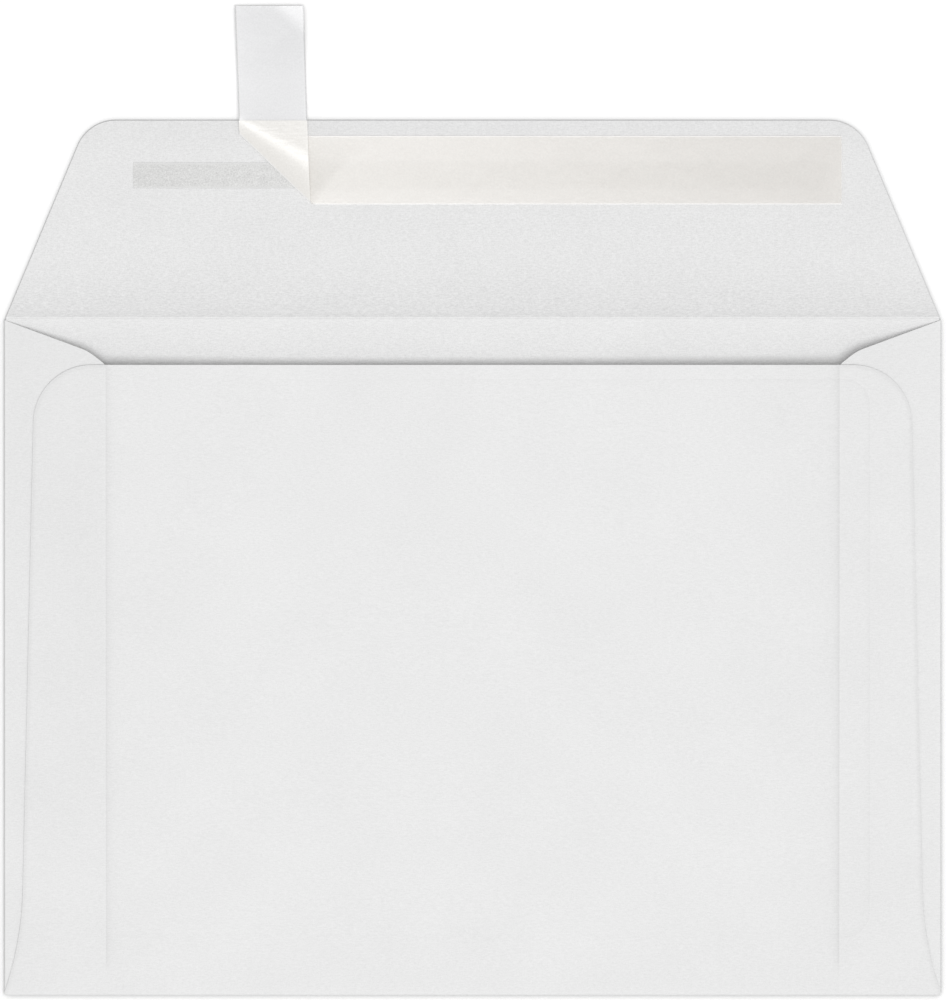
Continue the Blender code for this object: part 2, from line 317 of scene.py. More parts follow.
def fold_tree(finish):
    """Folds a flat blank into an envelope, with its pocket sprung and its gummed edges showing through."""
    tree = bpy.data.node_groups.new("fold the envelope", "GeometryNodeTree")
    sizes = {
        "Side crease": side_crease,
        "Bottom crease": bottom_crease,
        "Side fold radius": side_fold_radius,
        "Bottom fold radius": bottom_fold_radius,
        "Side flap edge": side_flap_edge,
        "Spring": POCKET_SPRING,
        "Sag": POCKET_SAG,
        "Sag to the left": 0.5,
        "Spring rounding": 0.0003,
        "Flap edge step": 0.00022,
        "Flap edge fade": 0.00050,
        "Window step": 0.00004,
        "Window fade": 0.00035,
        "Cockle": 0.00022,
        "Crease ridge": 0.00014,
        "Crease width": 0.0008,
        "Crease foot": 0.0025,
        "Groove depth": 0.00005,
        "Groove width": 0.00014,
    }
    start, geometry, size = open_tree(tree, sizes)
    flat = start.node("GeometryNodeInputPosition", {}, {})
    x, y, _ = flat.axes()
    bottom = size["Bottom crease"]

    # The bottom is folded everywhere below its crease, and the sides only above it
    out_y, up_y, in_y = around_fold(bottom - y, size["Bottom fold radius"])
    side_past = (abs(x) - size["Side crease"]) * (y > bottom)
    out_x, up_x, in_x = around_fold(side_past, size["Side fold radius"])
    level = start.sum("MAXIMUM", y, bottom) - out_y + in_y
    reach = abs(x) - start.sum("MAXIMUM", side_past, 0) + out_x - in_x
    turned = start.sum("MAXIMUM", in_x > 0, in_y > 0)

    # The side flaps spring up straight from their folds, and the back panel sags between them
    double = size["Side crease"] - size["Side flap edge"]
    over_flaps = size["Spring"] * (size["Side crease"] - reach) / double
    part_way = reach / size["Side flap edge"]
    signed_way = part_way * start.sum("SIGN", x)
    sag = size["Sag"] * (1 - part_way * part_way) * (1 - signed_way * size["Sag to the left"])
    between_flaps = size["Spring"] - sag
    lift = start.sum("SMOOTH_MIN", over_flaps, between_flaps, size["Spring rounding"])
    up_panel = (1 - level / bottom).between(0, 1)
    spring = start.sum("MAXIMUM", lift, 0) * up_panel * (2 - up_panel) * turned

    # The back panel drops off the side flaps' inner edges, and dips a little inside the window's edge
    inside_flap = size["Side flap edge"] - reach
    flap_step = size["Flap edge step"] * (1 - inside_flap.fading(size["Flap edge fade"]))
    window_step = size["Window step"] * (1 - window_inside(x, level).fading(size["Window fade"]))
    pressed_relief_and_shade = (flap_step + window_step) * smooth_step(in_y, 0.0, PRESSED_FROM)

    # Paper is never quite flat: it cockles where it isn't held down
    place = start.node("ShaderNodeCombineXYZ", {}, {0: reach * start.sum("SIGN", x), 1: level})
    wave = place.noise(COCKLES_PER_METRE, 1.0) - 0.5
    loose = smooth_step(size["Side flap edge"] - reach, 0.0, HELD_BESIDE_FLAP)
    cockle = size["Cockle"] * wave * turned * up_panel * loose
    raised = size["Cockle"] * start.sum("MAXIMUM", wave, 0)
    lifted = raised * smooth_step(y, HELD_BESIDE_CREASE, flap_top)
    rise = cockle + lifted * (1 - turned)

    # The opened crease stands up a little, steeply on the flap's side, with a fine groove along its top
    on_flap = start.sum("MAXIMUM", y, 0).bell(size["Crease width"])
    on_panel = (y * -1).fading(size["Crease foot"])
    groove = size["Groove depth"] * (y + GROOVE_PLACE).bell(size["Groove width"])
    ridge = size["Crease ridge"] * on_flap * on_panel - groove
    crease = ridge * (1 - up_x / (2 * size["Side fold radius"])) * (1 - turned)

    height = paper_middle + up_x + up_y + spring - pressed_relief_and_shade + rise + crease
    folded = start.node("ShaderNodeCombineXYZ", {}, {0: place.axes()[0], 1: level, 2: height})
    close_tree(start, geometry, folded, finish)
    return tree, sizes


def blank_material(name):
    """A new material, the start of its sums, and its surface shader."""
    finish = bpy.data.materials.new(name)
    finish.use_nodes = True
    return finish, Wire(finish.node_tree), finish.node_tree.nodes["Principled BSDF"]


def give(shader, values):
    """Sets or links the named inputs of a shader."""
    for name, value in values.items():
        if isinstance(value, Wire):
            value.tree.links.new(value.socket, shader.inputs[name])
        else:
            shader.inputs[name].default_value = value


def bumped(height, strength, distance):
    sockets = {"Strength": strength, "Distance": distance, "Height": height}
    return height.node("ShaderNodeBump", {}, sockets)


def object_place(start):
    return start.node("ShaderNodeTexCoord", {}, {}, output="Object")


# The paper's whites, textures and painted light and shade. A tone is the part by which something darkens or
# lightens the white.
PANEL_WHITE = (0.825, 0.825, 0.825, 1)
FLAP_WHITE = (0.800, 0.800, 0.800, 1)
PAPER_ROUGHNESS = 0.85
GRAINS_PER_METRE = 4200.0
FIBRES_PER_METRE = (1100, 4200, 1100)
CLOUDS_PER_METRE = 60.0
STREAKS_PER_METRE = (60, 900, 60)
GRAIN_TONE = 0.14
INNER_GRAIN_TONE = 0.10
INNER_FIBRE_TONE = 0.08
CREASED_FIBRE_TONE = 0.12
CLOUD_TONE = 0.06
CREASED_TONE = 0.02
STREAK_TONE = 0.05
CREASE_SHADE_TONE = 0.044
CREASE_LIGHT_TONE = 0.020
GROOVE_SHADE_TONE = 0.075
GROOVE_HIGHLIGHT_TONE = 0.035
FLAP_EDGE_SHADE_TONE = 0.088
WINDOW_LINE_TONE = 0.012
WINDOW_LINE_TONE_RIGHT = 0.026
PANEL_EDGE_SHADOW_TONE = 0.052
PANEL_SIDES_TONE = 0.014
FLAP_TOP_TONE = 0.022

# Where those tones are, and how fast they fade
INNER_FACE_TOP = 0.0003
BACK_FACE_FOOT = 0.0006
BACK_FACE_TOP = 0.0008
CREASE_BLUR = 0.0001
CREASED_START = 0.0004
CREASED_END = 0.0120
CREASE_SHADE_FADE = 0.0008
CREASE_LIGHT_FADE = 0.0011
GROOVE_SHADE_PLACE = 0.00024
GROOVE_SHADE_WIDTH = 0.00011
GROOVE_TONE_WIDTH = 0.00009
FLAP_LINE_FADE = 0.0008
FLAP_LINE_START = 0.004
FLAP_LINE_FULL = 0.007
WINDOW_LINE_FADE = 0.0005
WINDOW_LINE_LEFT = -0.05
WINDOW_LINE_RIGHT = 0.075
WINDOW_LINE_START = 0.0006
WINDOW_LINE_FULL = 0.004
WINDOW_CORNER_START = 0.070
WINDOW_CORNER_FULL = 0.074
SIDE_LINE_PLACE = 0.0002
SIDE_LINE_WIDTH = 0.0004
PANEL_HALF_HEIGHT = 0.1
PANEL_SIDES_START = 0.045
PANEL_SIDES_FULL = 0.075
FLAP_TOP_START = 0.008
FLAP_TOP_FULL = 0.001


def paper_finish():
    """Smooth white stationery: fine grain, faint clouds, and painted light and shade at the crease and
    along the lines where edges press through.
    """
    finish, start, surface = blank_material("white paper")
    place = object_place(start)
    x, y, z = place.axes()
    across = abs(x)
    inner_face = 1 - smooth_step(z, INNER_FACE_TOP, BACK_FACE_FOOT)
    back = smooth_step(z, BACK_FACE_FOOT, BACK_FACE_TOP)
    on_flap = smooth_step(y, -CREASE_BLUR, CREASE_BLUR)
    fine = place.noise(GRAINS_PER_METRE, 1.0) - 0.5
    fibres = place.stretched(*FIBRES_PER_METRE).noise(1.0) - 0.5
    clouds = place.noise(CLOUDS_PER_METRE, 4.0) - 0.5
    streaks = place.stretched(*STREAKS_PER_METRE).noise(1.0)
    creased = on_flap * (1 - smooth_step(y, CREASED_START, CREASED_END))
    grain = (GRAIN_TONE + INNER_GRAIN_TONE * inner_face) * fine
    fibre_tone = GRAIN_TONE + INNER_FIBRE_TONE * inner_face + CREASED_FIBRE_TONE * creased
    grain = grain + fibre_tone * fibres

    # Right beside the crease the flap carries painted shade and the panel painted light, and along the
    # groove lie a thin painted dark line and a painted highlight
    painted_crease_shade = CREASE_SHADE_TONE * on_flap * y.fading(CREASE_SHADE_FADE)
    painted_crease_light = CREASE_LIGHT_TONE * (1 - on_flap) * (y * -1).fading(CREASE_LIGHT_FADE)
    groove_shade_and_highlight = GROOVE_SHADE_TONE * (y + GROOVE_SHADE_PLACE).bell(GROOVE_SHADE_WIDTH)
    groove_shade_and_highlight = groove_shade_and_highlight - GROOVE_HIGHLIGHT_TONE * (y + GROOVE_PLACE).bell(GROOVE_TONE_WIDTH)

    # The side flaps' inner edges press through the back panel as two steps, each with a line of painted
    # shade beside it
    within_flaps = side_flap_edge - across
    on_panel = back * (y < -THROAT_DEPTH)
    flap_edge_shade = FLAP_EDGE_SHADE_TONE * (within_flaps > 0) * within_flaps.fading(FLAP_LINE_FADE)
    above_crease = smooth_step(y, bottom_crease + FLAP_LINE_START, bottom_crease + FLAP_LINE_FULL)
    flap_edge_shade = flap_edge_shade * above_crease

    # The window's edge gets a fainter line of painted shade, stronger to the right and missing along the
    # bottom
    window_place = window_inside(x, y)
    window_edge_shade = (window_place > 0) * window_place.fading(WINDOW_LINE_FADE)
    to_the_right = smooth_step(x, WINDOW_LINE_LEFT, WINDOW_LINE_RIGHT)
    window_edge_shade = window_edge_shade * (WINDOW_LINE_TONE + WINDOW_LINE_TONE_RIGHT * to_the_right)
    off_bottom = smooth_step(y, window_bottom + WINDOW_LINE_START, window_bottom + WINDOW_LINE_FULL)
    at_corner = smooth_step(x, WINDOW_CORNER_START, WINDOW_CORNER_FULL)
    window_edge_shade = window_edge_shade * off_bottom.sum("MAXIMUM", off_bottom, at_corner)

    # The back panel's own side edges get a soft line of painted shadow beside them
    up = y - bottom_crease
    flare = (1 - up / BACK_PANEL_FLARE_HEIGHT).between(0, 1)
    taper = (BACK_PANEL_TOP_INSET - BACK_PANEL_BOTTOM_INSET) * up / (-THROAT_DEPTH - bottom_crease)
    side = half_width - BACK_PANEL_BOTTOM_INSET * (1 - flare * flare) - taper
    panel_middle = -THROAT_DEPTH - PANEL_HALF_HEIGHT
    panel_inside = rounded_box_inside(
        x, y, panel_middle, side, PANEL_HALF_HEIGHT, BACK_PANEL_CORNER_RADIUS
    )
    panel_edge_shadow = PANEL_EDGE_SHADOW_TONE * (panel_inside - SIDE_LINE_PLACE).bell(SIDE_LINE_WIDTH)
    panel_edge_shadow = panel_edge_shadow * (across > side_flap_edge)
    # Painted shade: the lines where edges press through and the line beside the back panel's sides darken
    # the white
    pressed_relief_and_shade = on_panel * (flap_edge_shade + window_edge_shade) + back * panel_edge_shadow

    shaded = PANEL_SIDES_TONE * back * smooth_step(across, PANEL_SIDES_START, PANEL_SIDES_FULL)
    near_top = smooth_step(y, flap_top - FLAP_TOP_START, flap_top - FLAP_TOP_FULL)
    shaded = shaded + FLAP_TOP_TONE * on_flap * near_top
    tone = 1 + grain + CLOUD_TONE * clouds - creased * (CREASED_TONE + STREAK_TONE * streaks) - shaded
    tone = tone - painted_crease_shade + painted_crease_light - groove_shade_and_highlight - pressed_relief_and_shade
    colour = on_flap.blend(PANEL_WHITE, FLAP_WHITE).scaled(tone)
    relief = bumped(fine + fibres, strength=0.25, distance=0.00005)
    give(surface, {"Base Color": colour, "Roughness": PAPER_ROUGHNESS, "Normal": relief})
    return finish


def blank_x(place):
    """The flat blank's x of a place on the turned-in right side flap."""
    return 2 * side_crease + math.pi * side_fold_radius - place


def blank_y(place):
    """The flat blank's y of a place on the turned-up back panel."""
    return 2 * bottom_crease - math.pi * bottom_fold_radius - place


def back_panel_side(up):
    """Where the back panel's side edge is, that far above the bottom crease."""
    taper = (BACK_PANEL_TOP_INSET - BACK_PANEL_BOTTOM_INSET) * up / (-THROAT_DEPTH - bottom_crease)
    flare = max(0, 1 - up / BACK_PANEL_FLARE_HEIGHT) ** 2
    return half_width - BACK_PANEL_BOTTOM_INSET * (1 - flare) - taper


# The blank's steps are short where it bends or where an edge presses through, and long elsewhere
FLARE_STEP = 0.002
FOLD_STEP = math.pi / 10
CREASE_STEP = 0.00008
FLAP_EDGE_STEP = 0.0001
NEAR_EDGE_STEP = 0.0004
WINDOW_EDGE_STEP = 0.0003
PANEL_COLUMN_STEP = 0.0024
SEAM_COLUMN_STEP = 0.0015
FLAP_COLUMN_STEP = 0.002
ROW_STEP = 0.0026
BOTTOM_ROW_STEP = 0.0022
THROAT_ROW_STEP = 0.001
CREASE_REACH = 0.0012
NEAR_FLAP_REACH = 0.0025
FLAP_EDGE_INNER_REACH = 0.0007
FLAP_EDGE_OUTER_REACH = 0.0003
WINDOW_SIDE_REACH = 0.0006
WINDOW_BOTTOM_REACH = 0.0012
WINDOW_TOP_REACH = 0.0010
WINDOW_INNER_REACH = 0.0020


def blank_outline():
    """The right half of the flat blank, with half of the window open on the middle line."""
    flap_end = blank_x(side_flap_edge)
    flap_bend = blank_x(side_flap_edge + SIDE_FLAP_BEND_INSET)
    throat = blank_y(-THROAT_DEPTH)
    flare = [
        (back_panel_side(up), blank_y(bottom_crease + up), 0)
        for up in evenly(0, BACK_PANEL_FLARE_HEIGHT, FLARE_STEP)
    ]
    outer = rounded([
        (0, flap_top, 0),
        (half_width - SEAL_FLAP_TOP_INSET, flap_top, SEAL_FLAP_CORNER_RADIUS),
        (side_crease, 0, 0),
        (side_crease, -SIDE_FLAP_TOP_START, 0),
        (flap_bend, -SIDE_FLAP_BEND_FALL, SIDE_FLAP_BEND_RADIUS),
        (flap_end, -SIDE_FLAP_TOP_FALL, SIDE_FLAP_TOP_RADIUS),
        (flap_end, bottom_crease + SIDE_FLAP_BOTTOM_RISE, SIDE_FLAP_BOTTOM_RADIUS),
        (side_crease, bottom_crease, 0),
        *flare,
        (half_width - BACK_PANEL_TOP_INSET, throat, BACK_PANEL_CORNER_RADIUS),
        (0, throat, 0),
    ])
    window = rounded([
        (0, window_bottom, 0),
        (window_side, window_bottom, WINDOW_CORNER_RADIUS),
        (window_side, window_top, WINDOW_CORNER_RADIUS),
        (0, window_top, 0),
    ])
    return outer + window


def graded(start, stretches):
    """The places that divide a line after its start, in stretches given as (end, longest step)."""
    places = []
    for end, step in stretches:
        places += evenly(start, end, step)[1:]
        start = end
    return places


def blank_cuts():
    """The lines that divide the blank: finely at its folds and where edges show through, else coarsely."""
    columns = graded(0, [
        (side_flap_edge - NEAR_FLAP_REACH, PANEL_COLUMN_STEP),
        (side_flap_edge - FLAP_EDGE_INNER_REACH, NEAR_EDGE_STEP),
        (side_flap_edge + FLAP_EDGE_OUTER_REACH, FLAP_EDGE_STEP),
        (window_side + WINDOW_SIDE_REACH, NEAR_EDGE_STEP),
        (side_crease, SEAM_COLUMN_STEP),
        (side_crease + math.pi * side_fold_radius, side_fold_radius * FOLD_STEP),
        (blank_x(side_flap_edge), FLAP_COLUMN_STEP),
    ])
    front_rows = graded(bottom_crease, [
        (-CREASE_REACH, ROW_STEP),
        (CREASE_REACH, CREASE_STEP),
        (flap_top, ROW_STEP),
    ])
    fold_rows = evenly(bottom_crease, blank_y(bottom_crease), bottom_fold_radius * FOLD_STEP)
    back_rows = graded(bottom_crease, [
        (window_bottom - WINDOW_BOTTOM_REACH, BOTTOM_ROW_STEP),
        (window_bottom + WINDOW_INNER_REACH, WINDOW_EDGE_STEP),
        (window_top - WINDOW_INNER_REACH, ROW_STEP),
        (window_top + WINDOW_TOP_REACH, WINDOW_EDGE_STEP),
        (-THROAT_DEPTH, THROAT_ROW_STEP),
    ])
    rows = front_rows[:-1] + fold_rows + [blank_y(place) for place in back_rows[:-1]]
    return upright_cuts(columns[:-1]) + level_cuts(rows)


def add_thickness(piece, thickness):
    """Gives a bent sheet its thickness, half to each side."""
    solidify = piece.modifiers.new("thickness", "SOLIDIFY")
    solidify.thickness = thickness
    solidify.offset = 0
    solidify.use_even_offset = True
    solidify.use_quality_normals = True


def add_tree(piece, tree, sizes):
    """Adds a Geometry Nodes tree as a modifier, with its named inputs set."""
    modifier = piece.modifiers.new(tree.name, "NODES")
    modifier.node_group = tree
    for item in tree.interface.items_tree:
        if item.in_out == "INPUT" and item.name in sizes:
            modifier[item.identifier] = sizes[item.name]


paper = paper_finish()
folding, fold_sizes = fold_tree(paper)
folded_paper = piece_from(cut_sheet(blank_outline(), blank_cuts()), "folded_paper")
folded_paper.data.materials.append(paper)
folded_paper.modifiers.new("other half", "MIRROR").merge_threshold = 1e-5
add_tree(folded_paper, folding, fold_sizes)
add_thickness(folded_paper, PAPER_THICKNESS)
finished(folded_paper)
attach(folded_paper, "root")
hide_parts("envelope_paper")

# The window is a thin clear film, glued to the back of the front panel by a ring of gum. Two broad lines
# of the same gum hold the back panel to the side flaps. Film and gum keep their CAD shapes.
RIPPLES_PER_METRE = 55.0
GUM_STREAKS_PER_METRE = (900, 160, 900)
GUM_THIN = (0.80, 0.76, 0.64, 1)
GUM_THICK = (0.72, 0.68, 0.55, 1)

film, start, surface = blank_material("clear window film")
ripple = object_place(start).noise(RIPPLES_PER_METRE)
give(surface, {
    "Base Color": (0.93, 0.95, 0.96, 1),
    "Roughness": 0.06,
    "Alpha": 0.14,
    "Normal": bumped(ripple, strength=0.25, distance=0.0004),
})
gum, start, surface = blank_material("dried gum")
streaks = object_place(start).stretched(*GUM_STREAKS_PER_METRE).noise(1.0)
give(surface, {"Base Color": streaks.blend(GUM_THIN, GUM_THICK), "Roughness": 0.32, "Alpha": 0.75})
for node, material in (
    ("window_film", film), ("window_gum", gum), ("seam_gum_left", gum), ("seam_gum_right", gum)
):
    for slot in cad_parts[node].material_slots:
        slot.material = material

# The sealing strip is a line of soft, tacky hot-melt glue, rolled on to the flap. Its edges wander a
# little and thin out to nothing. It keeps its CAD shape.
GLUE_DARK = (0.615, 0.615, 0.61, 1)
GLUE_LIGHT = (0.755, 0.755, 0.745, 1)
GLUE_EDGE = (0.74, 0.74, 0.735, 1)
GLUE_GRAINS_PER_METRE = 3400.0
MOTTLE_PER_METRE = (500, 900, 500)
WANDER_PER_METRE = (900, 0, 0)
GLUE_GRAIN_TONE = 0.6
GLUE_END_TONE = 0.04
GLUE_END_LENGTH = 0.02
GLUE_ALPHA = 0.92
EDGE_WANDER = 0.0003
EDGE_START = 0.00015
EDGE_THIN_START = 0.0001
EDGE_THIN_END = 0.0007
strip_low, strip_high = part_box("seal_adhesive")
strip_middle = (strip_low.y + strip_high.y) / 2
strip_half_width = (strip_high.y - strip_low.y) / 2

adhesive, start, surface = blank_material("tacky adhesive")
place = object_place(start)
x, y, _ = place.axes()
fine = place.noise(GLUE_GRAINS_PER_METRE, 1.0) - 0.5
mottle = place.stretched(*MOTTLE_PER_METRE).noise(1.0, 3.0)
wander = place.stretched(*WANDER_PER_METRE).noise(1.0, 3.0) - 0.5
inside_edge = strip_half_width - abs(y - strip_middle) + wander * EDGE_WANDER
from_behind = start.node("ShaderNodeNewGeometry", {}, {}, output="Backfacing")
left_end_tone = 1 + GLUE_END_TONE * smooth_step(x, strip_low.x, strip_low.x + GLUE_END_LENGTH)
body = mottle.blend(GLUE_DARK, GLUE_LIGHT).scaled(left_end_tone + GLUE_GRAIN_TONE * fine)
thin_edge = smooth_step(inside_edge, EDGE_THIN_START, EDGE_THIN_END)
give(surface, {
    "Base Color": thin_edge.blend(GLUE_EDGE, body),
    "Roughness": 0.45,
    "Alpha": smooth_step(inside_edge, 0.0, EDGE_START) * GLUE_ALPHA * (1 - from_behind),
    "Normal": bumped(mottle + fine, strength=0.3, distance=0.0001),
})
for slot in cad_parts["seal_adhesive"].material_slots:
    slot.material = adhesive

# The release liner is a strip of glazed, translucent paper. It still covers most of the adhesive. Its left
# end was peeled and folded back slantwise, so that it lies out past the flap's edge on its own spring, and
# its cut end curls a little.
LINER_TOP_LAP = 0.0052
LINER_BOTTOM_LAP = 0.0031
LINER_LEFT_LAP = 0.0046
LINER_RIGHT_LAP = 0.0031
LINER_PEELED_LENGTH = 0.0258
LINER_END_SLANT = 0.0004
LINER_THICKNESS = 0.00006
LINER_FOLD_ANGLE = math.radians(44)
FOLD_RADIUS = 0.0003
FOLD_TURN = math.radians(158)
SPRING_RADIUS = 0.0077
SPRING_GROWTH = 0.8
SPRING_LEAST_RADIUS = 0.0028
SPRING_ROUNDING = 0.004
SPRING_TURN = math.radians(24.4)
CURL_START = 0.0232
CURL_RADIUS = 0.028
CURL_TURN = math.radians(3.5)

liner_low = Vector((strip_low.x - LINER_LEFT_LAP, strip_low.y - LINER_BOTTOM_LAP, strip_high.z + LAYER_GAP))
liner_high = Vector((
    strip_high.x + LINER_RIGHT_LAP, strip_high.y + LINER_TOP_LAP, liner_low.z + LINER_THICKNESS
))
liner_middle = (liner_low.y + liner_high.y) / 2
liner_half_width = (liner_high.y - liner_low.y) / 2
fold_along = Vector((math.cos(LINER_FOLD_ANGLE), -math.sin(LINER_FOLD_ANGLE)))
fold_across = Vector((fold_along.y, -fold_along.x))
fold_start = Vector((liner_low.x + LINER_PEELED_LENGTH, liner_high.y)) - fold_across * FOLD_RADIUS


def bend(start, past, radius, heading, turn):
    """One bend of a strip: how far onwards and how far up it takes a place that far past its start."""
    turned = (past / radius).between(min(0, turn), max(0, turn)) + heading
    onwards = radius * (turned.sum("SINE", turned) - math.sin(heading))
    up = radius * (math.cos(heading) - turned.sum("COSINE", turned))
    return onwards, up


def liner_tree(finish):
    """Peels the strip: a tight slanting fold, a wider bend that grows along the fold, and a curled end.

    Every point keeps its place on the flat strip as "flat place", for the finish.
    """
    tree = bpy.data.node_groups.new("peel the liner", "GeometryNodeTree")
    sizes = {
        "Fold radius": FOLD_RADIUS,
        "Spring radius": SPRING_RADIUS,
        "Spring growth": SPRING_GROWTH,
        "Least radius": SPRING_LEAST_RADIUS,
        "Curl start": CURL_START,
        "Curl radius": CURL_RADIUS,
    }
    start, geometry, size = open_tree(tree, sizes)
    flat = start.node("GeometryNodeInputPosition", {}, {})
    kept = {"Geometry": geometry, "Name": "flat place", "Value": flat}
    marked = start.node("GeometryNodeStoreNamedAttribute", {"data_type": "FLOAT_VECTOR"}, kept)
    x, y, z = flat.axes()
    offset_x = x - fold_start.x
    offset_y = y - fold_start.y
    along = offset_x * fold_along.x + offset_y * fold_along.y
    past = offset_x * fold_across.x + offset_y * fold_across.y
    fold_radius = size["Fold radius"]
    growing_radius = size["Spring radius"] + size["Spring growth"] * along
    spring_radius = start.sum("SMOOTH_MAX", growing_radius, size["Least radius"], SPRING_ROUNDING)

    # Each bend starts where the one before it ends, and turns on from its heading
    peeled = start.sum("MAXIMUM", past, 0)
    out_1, up_1 = bend(start, peeled, fold_radius, 0, FOLD_TURN)
    after = start.sum("MAXIMUM", peeled - fold_radius * FOLD_TURN, 0)
    out_2, up_2 = bend(start, after, spring_radius, FOLD_TURN, SPRING_TURN)
    heading = FOLD_TURN + SPRING_TURN
    straight = start.sum("MAXIMUM", after - spring_radius * SPRING_TURN, 0)
    before_curl = start.sum("MAXIMUM", straight - (past - size["Curl start"]), 0)
    curl_start = start.sum("MINIMUM", straight, before_curl)
    out_3, up_3 = bend(start, straight - curl_start, size["Curl radius"] * -1, heading, -CURL_TURN)
    last = start.sum("MAXIMUM", straight - curl_start - size["Curl radius"] * CURL_TURN, 0)
    end = heading - CURL_TURN
    run = past.sum("MINIMUM", past, 0) + out_1 + out_2 + out_3
    run = run + curl_start * math.cos(heading) + last * math.cos(end)
    rise = up_1 + up_2 + up_3 + curl_start * math.sin(heading) + last * math.sin(end)
    moved = start.node("ShaderNodeCombineXYZ", {}, {
        0: fold_start.x + along * fold_along.x + run * fold_across.x,
        1: fold_start.y + along * fold_along.y + run * fold_across.y,
        2: z + rise,
    })
    close_tree(start, marked, moved, finish)
    return tree, sizes


# The liner is cream over the flap, pinker and darker to the right, and paler where it is peeled. Past the
# flap's edge the tail is a darker neutral grey, painted shade for the shaded table seen through it, with a
# painted dark rim of shade along its cut edges. Over the flap its cut edges and the fold carry painted
# highlights as pale lines.
CREAM_LEFT = (0.865, 0.835, 0.79, 1)
CREAM_RIGHT = (0.69, 0.66, 0.62, 1)
CREAM_PEELED = (0.99, 0.97, 0.935, 1)
NEUTRAL_LEFT = (0.80, 0.80, 0.81, 1)
NEUTRAL_RIGHT = (0.875, 0.875, 0.885, 1)
HIGHLIGHT_WHITE = (0.98, 0.98, 0.98, 1)
CREAM_START = -0.045
CREAM_END = 0.085
NEUTRAL_START = -0.011
NEUTRAL_END = -0.003
LINER_GRAINS_PER_METRE = 3000.0
LINER_CLOUDS_PER_METRE = 160.0
LINER_FIBRES_PER_METRE = (500, 1500, 500)
LINER_GRAIN_TONE = 0.16
LINER_CLOUD_TONE = 0.03
TAIL_EDGE_SHADE_TONE = 0.34
CUT_EDGE_START = 0.0001
CUT_EDGE_END = 0.0003
CUT_EDGE_HIGHLIGHT = 0.55
FLAP_EDGE_BLUR = 0.0002
FOLD_LINE_WIDTH = 0.00030
CLOUD_RELIEF = 3.0
FIBRE_RELIEF = 3.5
LEAST_COAT = 0.06
FIBRE_COAT = 0.56
LINER_ALPHA = 0.66
PEELED_ALPHA = 0.15
HIGHLIGHT_ALPHA = 0.10

liner, start, surface = blank_material("glazed release liner")
place = object_place(start)
x, y, _ = place.axes()
flat_place = start.node("ShaderNodeAttribute", {"attribute_name": "flat place"}, {}, output="Vector")
flat_x, flat_y, _ = flat_place.axes()
past = (flat_x - fold_start.x) * fold_across.x + (flat_y - fold_start.y) * fold_across.y
along = (flat_x - fold_start.x) * fold_along.x + (flat_y - fold_start.y) * fold_along.y
peeled = smooth_step(past, 0.0, FOLD_RADIUS)
past_flap = smooth_step(y, flap_top - FLAP_EDGE_BLUR, flap_top + FLAP_EDGE_BLUR)
fine = place.noise(LINER_GRAINS_PER_METRE, 1.0) - 0.5
clouds = place.noise(LINER_CLOUDS_PER_METRE, 3.0) - 0.5
fibres = place.stretched(*LINER_FIBRES_PER_METRE).noise(1.0)
from_edge = liner_half_width - abs(flat_y - liner_middle)
cut_edge = 1 - smooth_step(from_edge, CUT_EDGE_START, CUT_EDGE_END)
# A painted highlight along the fold
fold_highlight = (past - FOLD_RADIUS * 2).bell(FOLD_LINE_WIDTH)
cream = smooth_step(x, CREAM_START, CREAM_END).blend(CREAM_LEFT, CREAM_RIGHT)
cream = peeled.blend(cream, CREAM_PEELED)
# Past the flap's edge the tail is painted a darker neutral grey: painted shade for the shaded table seen
# through it
neutral = smooth_step(along, NEUTRAL_START, NEUTRAL_END).blend(NEUTRAL_LEFT, NEUTRAL_RIGHT)
cream = past_flap.blend(cream, neutral)
# Painted highlights as pale lines on the cut edges over the flap and on the fold, which are also made more
# opaque
painted_highlight = (CUT_EDGE_HIGHLIGHT * cut_edge * (1 - peeled) + fold_highlight).between(0, 1)
cream = painted_highlight.blend(cream, HIGHLIGHT_WHITE)
# The tail's cut edges past the flap get a painted dark rim of shade
tone = 1 + LINER_GRAIN_TONE * fine + LINER_CLOUD_TONE * clouds - TAIL_EDGE_SHADE_TONE * cut_edge * past_flap
relief = fine + clouds * CLOUD_RELIEF + FIBRE_RELIEF * fibres * peeled * (1 - past_flap)
from_behind = start.node("ShaderNodeNewGeometry", {}, {}, output="Backfacing")
give(surface, {
    "Base Color": cream.scaled(tone),
    "Roughness": 0.24,
    "Specular IOR Level": 0.8,
    "Coat Weight": peeled * (LEAST_COAT + FIBRE_COAT * fibres),
    "Coat Roughness": 0.33,
    "Alpha": (LINER_ALPHA + PEELED_ALPHA * peeled + HIGHLIGHT_ALPHA * painted_highlight) * (1 - from_behind),
    "Normal": bumped(relief, strength=0.10, distance=0.0001),
})

# The strip's cuts follow its fold where it is peeled, and are square to its length where it still lies flat
FOLD_STEPS = 16
PEELED_REACH = 0.040
PEELED_STEP = 0.0006
FOLD_HALF_LENGTH = 0.030
ALONG_FOLD_STEP = 0.002
FLAT_START = 0.045
FLAT_STEP = 0.004

